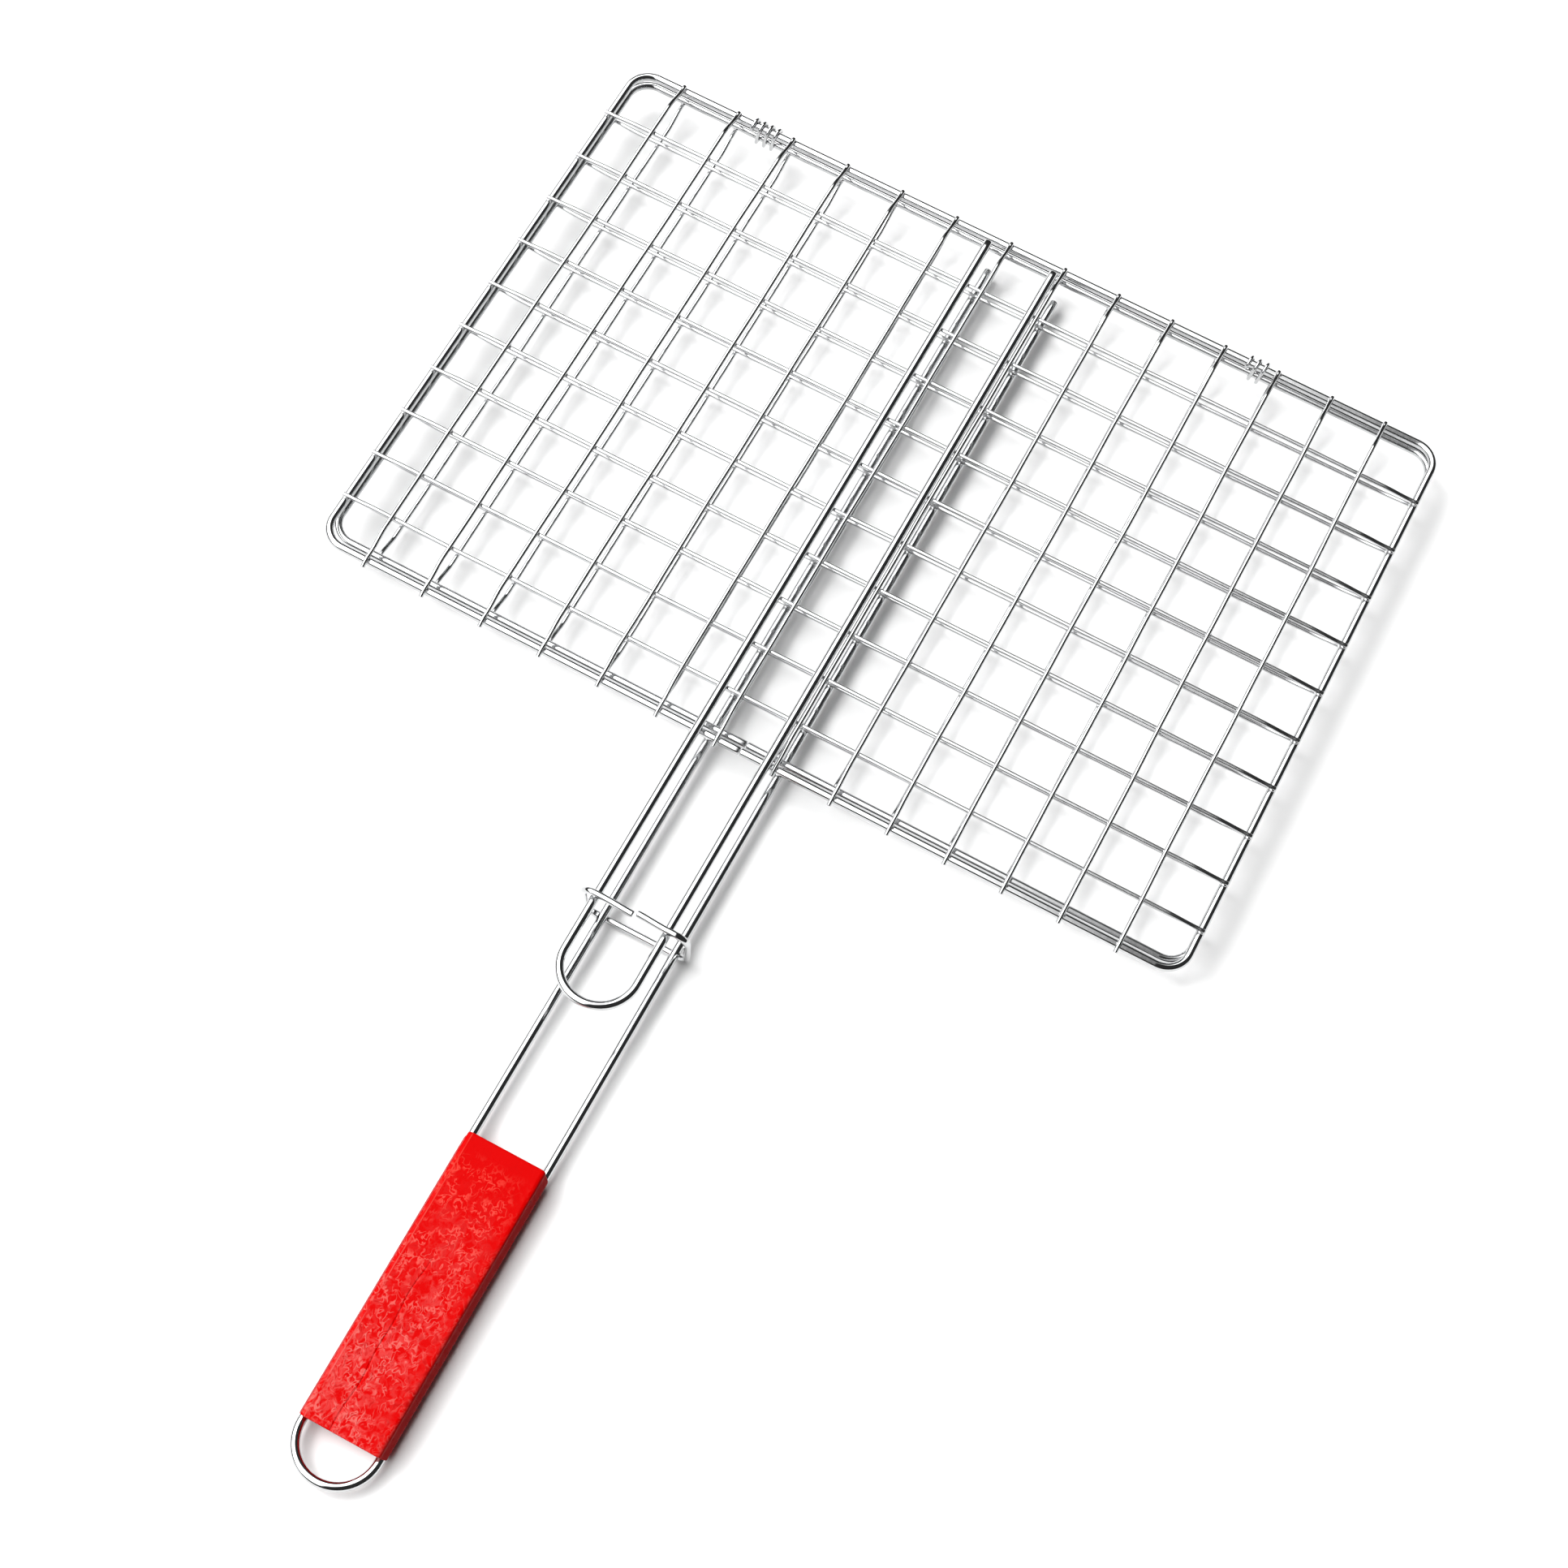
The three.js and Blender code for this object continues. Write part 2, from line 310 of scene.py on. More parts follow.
class BasketStage(bpy.types.PropertyGroup):
    """Floor, light and camera round the basket."""

    floor: FloatVectorProperty(
        name="Floor",
        description="Colour of the plain floor",
        default=(0.84, 0.84, 0.84), min=0, max=1, subtype="COLOR",
    )
    key_strength: FloatProperty(
        name="Key strength",
        description="Strength of the light high on the left",
        default=0.9, min=0,
    )
    sky_bright: FloatProperty(
        name="Soft light",
        description="Brightness of the large soft light",
        default=4.8, min=0,
    )
    sky_dark: FloatProperty(
        name="Dark studio",
        description="Brightness of the studio all round the soft light",
        default=0.04, min=0,
    )
    azimuth: FloatProperty(
        name="Azimuth",
        description="Turn of the camera round the basket, from straight behind the handle",
        default=math.radians(18.55), subtype="ANGLE",
    )
    elevation: FloatProperty(
        name="Elevation",
        description="Height of the camera above the floor, as an angle",
        default=math.radians(66.45), subtype="ANGLE",
    )
    roll: FloatProperty(
        name="Roll",
        description="Turn of the camera about its own line of sight",
        default=math.radians(10.03), subtype="ANGLE",
    )
    distance: FloatProperty(
        name="Distance",
        description="Camera to the point that it looks at",
        default=1.0178, min=0.1, unit="LENGTH", subtype="DISTANCE",
    )
    lens: FloatProperty(
        name="Lens",
        description="Focal length on a sensor 36 mm wide",
        default=65.7, min=10, unit="CAMERA",
    )


# ---------------------------------------------------------------- surfaces from numbers


def smooth(share):
    """S-shaped step from 0 to 1: three times the square less twice the cube."""
    share = np.clip(share, 0, 1)
    return share * share * (3 - 2 * share)


def lengths_along(path):
    """Length of the path from its start to each point."""
    steps = np.linalg.norm(np.diff(path, axis=0), axis=1)
    return np.concatenate([[0], np.cumsum(steps)])


def stray(run, seed, amount):
    """Sideways stray along a wire: three sines of falling height and chance phase, none at the ends."""
    chance = np.random.default_rng(seed)
    share = run / run[-1]
    waves = sum(
        np.sin(2 * np.pi * (count * share + chance.random())) * height
        for count, height in ((1.3, 0.6), (3.1, 0.3), (6.7, 0.14))
    )
    return amount * waves * np.clip(8 * share * (1 - share), 0, 1)


def bent_path(corners, radius, steps):
    """Straight runs between corners, each inner corner cut by an arc that touches both its runs."""
    corners = np.array(corners, float)
    points = [corners[0]]
    for before, corner, after in zip(corners[:-2], corners[1:-1], corners[2:]):
        arriving = (corner - before) / np.linalg.norm(corner - before)
        leaving = (after - corner) / np.linalg.norm(after - corner)
        turn = math.acos(np.clip(arriving @ leaving, -1, 1))
        start = corner - arriving * radius * math.tan(turn / 2)
        inward = leaving - arriving * math.cos(turn)
        inward /= np.linalg.norm(inward)
        angle = np.linspace(0, turn, steps)[:, None]
        arc = start + radius * (arriving * np.sin(angle) + inward * (1 - np.cos(angle)))
        points.extend(arc)
    points.append(corners[-1])
    return np.array(points)


def close_stations(path, spacing):
    """The same path with a point at least every spacing, on its straight runs too."""
    run = lengths_along(path)
    extra = np.arange(0, run[-1], spacing)
    stations = np.unique(np.concatenate([run, extra]))
    stations = stations[np.concatenate([[True], np.diff(stations) > spacing / 50])]
    stations[-1] = run[-1]
    return np.stack([np.interp(stations, run, path[:, k]) for k in range(3)], axis=1)


def wire_surface(path, thickness, sides, across, ease=0.32):
    """
    A round wire: a circle of the thickness carried square to the path, on a grid of length and angle.
    Near each end the radius falls along a quarter circle of ease times the radius, and a flat face
    closes it. across is a direction that the path never runs along.
    """
    run = lengths_along(path)
    radius = thickness / 2
    rim = ease * radius
    near_end = rim * np.array([0, 0.06, 0.25, 0.6, 1])
    inner = run[(run > 1.2 * rim) & (run < run[-1] - 1.2 * rim)]
    stations = np.concatenate([near_end, inner, run[-1] - near_end[::-1]])
    points = np.stack([np.interp(stations, run, path[:, k]) for k in range(3)], axis=1)

    to_end = np.minimum(stations, run[-1] - stations)
    short = np.clip(rim - to_end, 0, rim)
    radii = radius - rim + np.sqrt(rim * rim - short * short)

    along = np.gradient(points, stations, axis=0)
    along /= np.linalg.norm(along, axis=1)[:, None]
    normal = np.cross(along, np.array(across, float))
    normal /= np.linalg.norm(normal, axis=1)[:, None]
    binormal = np.cross(along, normal)

    angle = 2 * np.pi * np.arange(sides) / sides
    circle = (
        normal[:, None, :] * np.cos(angle)[None, :, None]
        + binormal[:, None, :] * np.sin(angle)[None, :, None]
    )
    vertices = (points[:, None, :] + radii[:, None, None] * circle).reshape(-1, 3)
    return vertices, *rolled_faces(len(stations), sides, stations, np.pi * thickness)


def rolled_faces(rows, columns, along, girth):
    """
    Quads of a grid rolled into a tube, with a face over each end, and the UV of every corner: length
    along the tube, and way round it.
    """
    row, column = np.meshgrid(np.arange(rows - 1), np.arange(columns), indexing="ij")
    row, column = row.ravel(), column.ravel()
    beside = (column + 1) % columns
    quads = np.stack(
        [
            row * columns + column,
            row * columns + beside,
            (row + 1) * columns + beside,
            (row + 1) * columns + column,
        ],
        axis=1,
    )
    start = np.arange(columns)[::-1]
    end = (rows - 1) * columns + np.arange(columns)
    faces = quads.tolist() + [start.tolist(), end.tolist()]

    round_step = girth / columns
    corners = np.stack(
        [
            np.stack([along[row], column * round_step], axis=1),
            np.stack([along[row], (column + 1) * round_step], axis=1),
            np.stack([along[row + 1], (column + 1) * round_step], axis=1),
            np.stack([along[row + 1], column * round_step], axis=1),
        ],
        axis=1,
    ).reshape(-1, 2)
    start_cap = np.stack([np.full(columns, along[0]), start * round_step], axis=1)
    end_cap = np.stack([np.full(columns, along[-1]), np.arange(columns) * round_step], axis=1)
    return faces, np.concatenate([corners, start_cap, end_cap])


def add_piece(name, vertices, faces, uvs, material, body, slot, stands_for=()):
    """Makes the mesh, gives it its finish, lets it ride on its body and hides the node it replaces."""
    mesh = bpy.data.meshes.new(name)
    mesh.from_pydata(vertices.tolist(), [], faces)
    mesh.polygons.foreach_set("use_smooth", np.ones(len(mesh.polygons), bool))
    if uvs is not None:
        layer = mesh.uv_layers.new(name="UVMap")
        layer.data.foreach_set("uv", np.asarray(uvs, np.float32).ravel())
    mesh.materials.append(material)
    mesh.update()
    piece = bpy.data.objects.new(name, mesh)
    bpy.context.scene.collection.objects.link(piece)
    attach(piece, body)
    if stands_for:
        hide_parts(*stands_for)
    return piece


# ---------------------------------------------------------------- paths of the wires


def frame_level(panel):
    """Height of a panel's frame wire."""
    return middle_of(panel["prefix"] + "_frame")[2]


def seat_level(panel, sizes):
    """Height of a mesh wire where it lies on the frame wire."""
    above = (sizes.frame_wire + sizes.mesh_wire) / 2 + sizes.weld_gap
    return frame_level(panel) + panel["up"] * above


def cross_level(panel, sizes):
    return seat_level(panel, sizes) + panel["up"] * sizes.mesh_rise


def long_level(panel, sizes):
    """The long wires lie outside the cross wires."""
    return cross_level(panel, sizes) + panel["up"] * (sizes.mesh_wire + sizes.weld_gap)


def frame_inside(panel, sizes):
    """Places of the middle of the frame wire: left, right, handle side and hinge side."""
    low, high = box_of(panel["prefix"] + "_frame")
    half = sizes.frame_wire / 2
    return low[0] + half, high[0] - half, low[1] + half, high[1] - half


def climb(distance, seat, level, sizes):
    """Height of a mesh wire inside the frame wire: its seat, then an S-shaped slope to its level."""
    return seat + (level - seat) * smooth((distance - sizes.seat_run) / sizes.slope_run)


def long_wire_path(panel, number, sizes):
    """Along Y, from the hinge side to the handle side. The lid's wires dip over the front wire."""
    low, high = box_of(f"{panel['prefix']}_long_wire_{number:02d}")
    _, _, front, hinge = frame_inside(panel, sizes)
    y = np.linspace(high[1], low[1], 150)
    x = np.full_like(y, (low[0] + high[0]) / 2)
    x += stray(high[1] - y, 100 * number + int(panel["up"]), sizes.wander)
    seat = seat_level(panel, sizes)
    inside = np.minimum(hinge - y, y - front)
    z = climb(inside, seat, long_level(panel, sizes), sizes)
    past_front = np.clip(front - sizes.frame_wire / 4 - y, 0, None)
    z -= panel["up"] * FRONT_DIP * past_front
    return np.stack([x, y, z], axis=1)


def cross_wire_path(panel, number, sizes):
    """Along X, from the left to the right."""
    low, high = box_of(f"{panel['prefix']}_cross_wire_{number:02d}")
    left, right, _, _ = frame_inside(panel, sizes)
    x = np.linspace(low[0], high[0], 190)
    y = np.full_like(x, (low[1] + high[1]) / 2)
    y += stray(x - low[0], 7000 + 100 * number + int(panel["up"]), sizes.wander)
    inside = np.minimum(x - left, right - x)
    z = climb(inside, seat_level(panel, sizes), cross_level(panel, sizes), sizes)
    return np.stack([x, y, z], axis=1)


def frame_path(panel, sizes):
    """A rectangle with round corners, open in the middle of the handle side."""
    left, right, front, hinge = frame_inside(panel, sizes)
    z = frame_level(panel)
    open_half = FRAME_MOUTH / 2
    corners = [
        (open_half, front, z),
        (right, front, z),
        (right, hinge, z),
        (left, hinge, z),
        (left, front, z),
        (-open_half, front, z),
    ]
    return close_stations(bent_path(corners, sizes.corner_bend, 14), FRAME_STEP)


def rod_legs(node, sizes):
    """Places across of the two legs of a U-shaped rod."""
    low, high = box_of(node)
    return low[0] + sizes.rod_wire / 2, high[0] - sizes.rod_wire / 2


def rod_path(node, sizes):
    """A U: two straight legs from the hinge side, and a half circle at the handle end."""
    low, high = box_of(node)
    left, right = rod_legs(node, sizes)
    end = low[1] + sizes.rod_wire / 2
    z = (low[2] + high[2]) / 2
    corners = [(left, high[1], z), (left, end, z), (right, end, z), (right, high[1], z)]
    return close_stations(bent_path(corners, (right - left) / 2, 40), FRAME_STEP)


def ring_path(sizes):
    """
    A leaning rectangle with round corners round all four rod legs. Its ends meet on top, one a little
    ahead of the other.
    """
    low, high = box_of("locking_ring")
    half = sizes.ring_wire / 2
    left, right = low[0] + half, high[0] - half
    bottom, top = low[2] + half, high[2] - half
    middle = (left + right) / 2
    mouth_half = RING_MOUTH / 2
    bend = (sizes.rod_wire + sizes.ring_wire) / 2 + sizes.ring_side_play
    handle_side, hinge_side = low[1] + half, high[1] - half
    corners = [
        (middle + mouth_half, handle_side, top),
        (right, handle_side, top),
        (right, hinge_side, bottom),
        (left, hinge_side, bottom),
        (left, handle_side, top),
        (middle - mouth_half, handle_side, top),
    ]
    path = close_stations(bent_path(corners, bend, 12), RING_STEP)
    run = lengths_along(path)
    path[:, 1] += RING_END_LEAD * smooth(1 - run / RING_END_RUN)
    path[:, 1] -= RING_END_LEAD * smooth(1 - (run[-1] - run) / RING_END_RUN)
    return path


def clip_path(node, sizes):
    """
    A coil wound in an oval round both hinge-side frame wires. A turn is a half circle over the lid's
    wire, a straight run down, a half circle under the lower wire and a straight run up, and the coil
    moves along X in step with the length of wire.
    """
    low, high = box_of(node)
    wire = sizes.clip_wire
    spacing = frame_level(PANELS[1]) - frame_level(PANELS[0])
    radius = (high[1] - low[1] - wire) / 2
    bend_share = math.pi * radius / (math.pi * radius + spacing)
    coil = high[0] - low[0] - wire
    halves = max(1, round(2 * coil / CLIP_PITCH + 1 - bend_share))
    y_middle = (low[1] + high[1]) / 2
    share = np.linspace(0, 1, 19)
    turns = []
    for half in range(halves):
        over = 1 if half % 2 == 0 else -1
        level = frame_level(PANELS[1] if over > 0 else PANELS[0])
        x = low[0] + wire / 2 + coil * (half + bend_share * share) / (halves - 1 + bend_share)
        y = y_middle - over * radius * np.cos(np.pi * share)
        z = level + over * radius * np.sin(np.pi * share)
        turns.append(np.stack([x, y, z], axis=1))
    return close_stations(np.concatenate(turns), CLIP_STEP)


# ---------------------------------------------------------------- finishes


class Nodes:
    """Small helper that adds nodes to a material and links them."""

    def __init__(self, name):
        self.material = bpy.data.materials.new(name)
        self.material.use_nodes = True
        self.tree = self.material.node_tree
        self.surface = self.tree.nodes["Principled BSDF"]

    def add(self, kind, inputs=None, **settings):
        node = self.tree.nodes.new(kind)
        for key, value in settings.items():
            setattr(node, key, value)
        for key, value in (inputs or {}).items():
            self.feed(node.inputs[key], value)
        return node

    def feed(self, socket, value):
        if isinstance(value, bpy.types.NodeSocket):
            self.tree.links.new(value, socket)
        else:
            socket.default_value = value

    def noise(self, vector, scale, detail=3.0, roughness=0.5, distortion=0.0):
        inputs = {
            "Vector": vector, "Scale": scale, "Detail": detail,
            "Roughness": roughness, "Distortion": distortion,
        }
        return self.add("ShaderNodeTexNoise", inputs).outputs["Fac"]

    def spread(self, value, low, high, to_low=0.0, to_high=1.0):
        """The value mapped from one range to another, clamped."""
        inputs = {
            "Value": value, "From Min": low, "From Max": high,
            "To Min": to_low, "To Max": to_high,
        }
        return self.add("ShaderNodeMapRange", inputs, clamp=True).outputs["Result"]

    def math(self, operation, first, second=0.0):
        node = self.add("ShaderNodeMath", operation=operation)
        self.feed(node.inputs[0], first)
        self.feed(node.inputs[1], second)
        return node.outputs[0]

    def product(self, first, *others):
        """All the values multiplied together."""
        for value in others:
            first = self.math("MULTIPLY", first, value)
        return first

    def mix(self, share, first, second):
        node = self.add("ShaderNodeMix", data_type="RGBA", clamp_factor=True)
        self.feed(node.inputs[0], share)
        self.feed(node.inputs[6], first)
        self.feed(node.inputs[7], second)
        return node.outputs[2]

    def stretched(self, vector, scale):
        node = self.add("ShaderNodeMapping", {"Vector": vector, "Scale": scale})
        return node.outputs["Vector"]

    def bump(self, height, strength, distance):
        inputs = {"Height": height, "Strength": strength, "Distance": distance}
        node = self.add("ShaderNodeBump", inputs)
        self.feed(self.surface.inputs["Normal"], node.outputs["Normal"])


def rgba(colour):
    return (*colour, 1.0)


def chrome_plate(name, bright, dull, roughness, stain):
    """
    Bright plate over drawn wire: faint stains and thin spots, a haze that comes and goes, and draw
    marks that run along the wire.
    """
    nodes = Nodes(name)
    place = nodes.add("ShaderNodeTexCoord").outputs["Object"]
    along = nodes.add("ShaderNodeUVMap", uv_map="UVMap").outputs["UV"]
    stains = nodes.spread(nodes.noise(place, 160.0, 4.0, 0.6), 0.56, 0.78)
    colour = nodes.mix(nodes.product(stains, stain), rgba(bright), rgba(dull))
    nodes.feed(nodes.surface.inputs["Base Color"], colour)
    haze = nodes.noise(place, 90.0, 3.0)
    nodes.feed(
        nodes.surface.inputs["Roughness"],
        nodes.spread(haze, 0.3, 0.75, roughness, roughness * 2.4),
    )
    nodes.surface.inputs["Metallic"].default_value = 1.0
    draw_marks = nodes.noise(nodes.stretched(along, (60.0, 2600.0, 1.0)), 1.0, 2.0)
    dents = nodes.noise(place, 240.0, 2.0)
    height = nodes.math("ADD", nodes.product(draw_marks, 0.25), dents)
    nodes.bump(height, 0.12, 0.1 * MM)
    return nodes.material


def red_paint(finishes):
    """
    Red paint over wood: crinkled in fine worm-like ridges, darker where it lies thick, and streaked
    along the grain.
    Its colour also holds painted light: a painted highlight on the ridges and in a thin line along the
    left edge, a painted reflection that turns the top paler and pinker in mottled patches towards the
    loop end, and painted shade in the crack and on the sides, ends and underside.
    """
    low, high = box_of("grip")
    nodes = Nodes("painted_grip")
    place = nodes.add("ShaderNodeTexCoord").outputs["Object"]
    parts = nodes.add("ShaderNodeSeparateXYZ", {"Vector": place}).outputs
    to_loop = nodes.spread(parts["Y"], high[1] - 0.012, low[1] + 0.03)

    # Fine ridges: narrow bands round the middle value of a noise, broken up and in patches, on the top
    # face only and fewer towards the right edge. They are raised in the bump, and their paler red is a
    # painted highlight.
    flat_place = nodes.stretched(place, (1.0, 0.8, 0.2))
    ridge_noise = nodes.noise(flat_place, 430.0, 1.0, 0.5, 0.9)
    ridge_band = nodes.math("ABSOLUTE", nodes.math("SUBTRACT", ridge_noise, 0.5))
    ridges = nodes.spread(ridge_band, 0.02, 0.07, 1.0, 0.0)
    breaks = nodes.spread(nodes.noise(flat_place, 360.0, 1.0), 0.38, 0.50)
    patches = nodes.spread(nodes.noise(place, 95.0, 2.0, 0.6), 0.34, 0.50)
    from_end = nodes.spread(parts["Y"], high[1] - 5 * MM, high[1] - 14 * MM)
    top = nodes.spread(parts["Z"], high[2] - 0.9 * MM, high[2] - 0.35 * MM)
    right_clear = nodes.spread(parts["X"], high[0] - 9 * MM, high[0] - 3.5 * MM, 1.0, 0.3)
    ridges = nodes.product(ridges, breaks, patches, from_end, top, right_clear)

    # A painted highlight: a thin pale line, broken up, along the top of the left eased edge
    edge_x = nodes.math("ABSOLUTE", nodes.math("SUBTRACT", parts["X"], low[0] + 2.3 * MM))
    painted_edge_highlight = nodes.spread(edge_x, 0.08 * MM, 0.3 * MM, 1.0, 0.0)
    edge_noise = nodes.noise(nodes.stretched(place, (1.0, 60.0, 1.0)), 1.0, 2.0)
    painted_edge_highlight = nodes.product(painted_edge_highlight, nodes.spread(edge_noise, 0.36, 0.5), 0.7)
    ridges_and_edge_highlight = nodes.math("MAXIMUM", ridges, painted_edge_highlight)

    # A painted reflection: mottled, paler and pinker patches on the top face, more towards the loop end
    # and fewer towards the right edge. Dark spots where the paint lies thick, more towards the loop,
    # and dark streaks along the grain.
    grain = nodes.noise(nodes.stretched(place, (700.0, 38.0, 700.0)), 1.0, 3.0, 0.6)
    mottle = nodes.noise(flat_place, 300.0, 3.0, 0.6, 0.8)
    blotches = nodes.spread(nodes.noise(place, 60.0, 2.0, 0.6), 0.34, 0.62)
    paler = nodes.product(
        to_loop, nodes.spread(mottle, 0.44, 0.60), nodes.math("ADD", blotches, 0.4), top, right_clear,
    )
    thick = nodes.product(nodes.spread(mottle, 0.56, 0.66), nodes.math("ADD", to_loop, 0.25), 0.7)
    thick = nodes.math("MAXIMUM", thick, nodes.spread(grain, 0.66, 0.8, 0.0, 0.3))
    # Painted shade: below the top face, in the crack and down the sides, ends and underside, the red
    # turns darker.
    below = nodes.spread(parts["Z"], high[2] - 0.75 * MM, high[2] - 0.35 * MM, 0.6, 0.0)

    # Painted reflection on the top face, towards the loop end.
    colour = nodes.mix(paler, rgba(finishes.paint), rgba(finishes.painted_reflection))
    colour = nodes.mix(thick, colour, rgba(finishes.paint_dark))
    # Painted highlight: the ridges and the left edge line take a paler red, pinker towards the loop
    # end.
    highlight_colour = nodes.mix(to_loop, rgba(finishes.ridge_highlight), rgba(finishes.loop_ridge_highlight))
    colour = nodes.mix(nodes.product(ridges_and_edge_highlight, 0.48), colour, highlight_colour)
    # Mix in the painted shade below the top face.
    colour = nodes.mix(below, colour, rgba(finishes.painted_shade))
    nodes.feed(nodes.surface.inputs["Base Color"], colour)
    nodes.feed(nodes.surface.inputs["Roughness"], nodes.spread(mottle, 0.3, 0.7, 0.24, 0.4))
    nodes.surface.inputs["Specular IOR Level"].default_value = 0.015
    height = nodes.math("ADD", nodes.product(ridges_and_edge_highlight, 0.8), nodes.product(grain, 0.3))
    height = nodes.math("ADD", height, nodes.product(mottle, 0.3))
    nodes.bump(height, 0.4, 0.2 * MM)
    return nodes.material


FINISHES = {}


def finish(slot):
    """The material of a slot of the record or of the welds, made once."""
    if slot in FINISHES:
        return FINISHES[slot]
    finishes = bpy.context.scene.basket_finishes
    if slot == "painted_grip":
        FINISHES[slot] = red_paint(finishes)
    else:
        bright = finishes.weld if slot == "weld" else finishes.chrome
        FINISHES[slot] = chrome_plate(slot, bright, finishes.chrome_dull, *PLATES[slot])
    return FINISHES[slot]


# ---------------------------------------------------------------- operators


def add_plated(name, surface, body, slot, node):
    """A piece in the plate of its slot, which stands for one frame node."""
    add_piece(name, *surface, finish(slot), body, slot, (node,))


class BASKET_OT_frames(bpy.types.Operator):
    """Bend the thick wire round each panel"""

    bl_idname = "basket.frames"
    bl_label = "Frames"

    def execute(self, context):
        sizes = context.scene.basket_sizes
        for panel in PANELS:
            node = panel["prefix"] + "_frame"
            path = frame_path(panel, sizes)
            surface = wire_surface(path, sizes.frame_wire, sizes.rod_sides, (0, 0, 1))
            add_plated("bent_" + node, surface, panel["body"], "chromed_rod", node)
        return {"FINISHED"}


class BASKET_OT_long_wires(bpy.types.Operator):
    """Lay the long wires of both panels"""

    bl_idname = "basket.long_wires"
    bl_label = "Long Wires"

    def execute(self, context):
        sizes = context.scene.basket_sizes
        for panel in PANELS:
            for number in range(1, LONG_WIRES + 1):
                node = f"{panel['prefix']}_long_wire_{number:02d}"
                path = long_wire_path(panel, number, sizes)
                surface = wire_surface(path, sizes.mesh_wire, sizes.wire_sides, (1, 0, 0))
                add_plated("drawn_" + node, surface, panel["body"], "mesh_wire", node)
        return {"FINISHED"}


class BASKET_OT_cross_wires(bpy.types.Operator):
    """Lay the cross wires of both panels"""

    bl_idname = "basket.cross_wires"
    bl_label = "Cross Wires"

    def execute(self, context):
        sizes = context.scene.basket_sizes
        for panel in PANELS:
            for number in range(1, CROSS_WIRES + 1):
                node = f"{panel['prefix']}_cross_wire_{number:02d}"
                path = cross_wire_path(panel, number, sizes)
                surface = wire_surface(path, sizes.mesh_wire, sizes.wire_sides, (0, 1, 0))
                add_plated("drawn_" + node, surface, panel["body"], "mesh_wire", node)
        return {"FINISHED"}


class BASKET_OT_rods(bpy.types.Operator):
    """Bend the handle rod and the lid rod"""

    bl_idname = "basket.rods"
    bl_label = "Rods"

    def execute(self, context):
        sizes = context.scene.basket_sizes
        for node, body in (("handle_rod", LOWER), ("lid_rod", UPPER)):
            surface = wire_surface(rod_path(node, sizes), sizes.rod_wire, sizes.rod_sides, (0, 0, 1))
            add_plated("bent_" + node, surface, body, "chromed_rod", node)
        return {"FINISHED"}


class BASKET_OT_locking_ring(bpy.types.Operator):
    """Bend the ring that slides along the rods"""

    bl_idname = "basket.locking_ring"
    bl_label = "Locking Ring"

    def execute(self, context):
        sizes = context.scene.basket_sizes
        surface = wire_surface(ring_path(sizes), sizes.ring_wire, sizes.rod_sides, (0, 1, 0))
        add_plated("bent_ring", surface, RING, "chromed_rod", "locking_ring")
        return {"FINISHED"}


class BASKET_OT_hinge_clips(bpy.types.Operator):
    """Wind the two hinge clips"""

    bl_idname = "basket.hinge_clips"
    bl_label = "Hinge Clips"

    def execute(self, context):
        sizes = context.scene.basket_sizes
        for node in ("hinge_clip_left", "hinge_clip_right"):
            surface = wire_surface(clip_path(node, sizes), sizes.clip_wire, CLIP_SIDES, (1, 0, 0))
            add_plated("coiled_" + node, surface, LOWER, "clip_wire", node)
        return {"FINISHED"}


def weld_surface(centres, half_sizes):
    """
    Flattened balls, one at each centre. On a grid of latitude and longitude, the distance out is the
    sine of the latitude from the pole, the height its cosine, each times its half size.
    """
    rows, columns = 5, 8
    latitude = np.pi * (np.arange(rows) + 0.5) / rows
    longitude = 2 * np.pi * np.arange(columns) / columns
    ball = np.stack(
        [
            np.outer(np.sin(latitude), np.cos(longitude)),
            np.outer(np.sin(latitude), np.sin(longitude)),
            np.outer(-np.cos(latitude), np.ones(columns)),
        ],
        axis=2,
    ).reshape(-1, 3)
    poles = np.array([[0, 0, -1.0], [0, 0, 1.0]])
    ball = np.concatenate([ball, poles])
    count = len(ball)
    vertices = centres[:, None, :] + ball[None, :, :] * half_sizes[:, None, :]

    row, column = np.meshgrid(np.arange(rows - 1), np.arange(columns), indexing="ij")
    row, column = row.ravel(), column.ravel()
    beside = (column + 1) % columns
    quads = np.stack(
        [
            row * columns + column,
            row * columns + beside,
            (row + 1) * columns + beside,
            (row + 1) * columns + column,
        ],
        axis=1,
    )
    ring = np.arange(columns)
    below = np.stack([np.full(columns, count - 2), (ring + 1) % columns, ring], axis=1)
    last = (rows - 1) * columns
    above = np.stack([np.full(columns, count - 1), last + ring, last + (ring + 1) % columns], axis=1)
    first = (np.arange(len(centres)) * count)[:, None, None]
    faces = []
    for shape in (quads, below, above):
        faces += (shape[None] + first).reshape(-1, shape.shape[1]).tolist()
    return vertices.reshape(-1, 3), faces


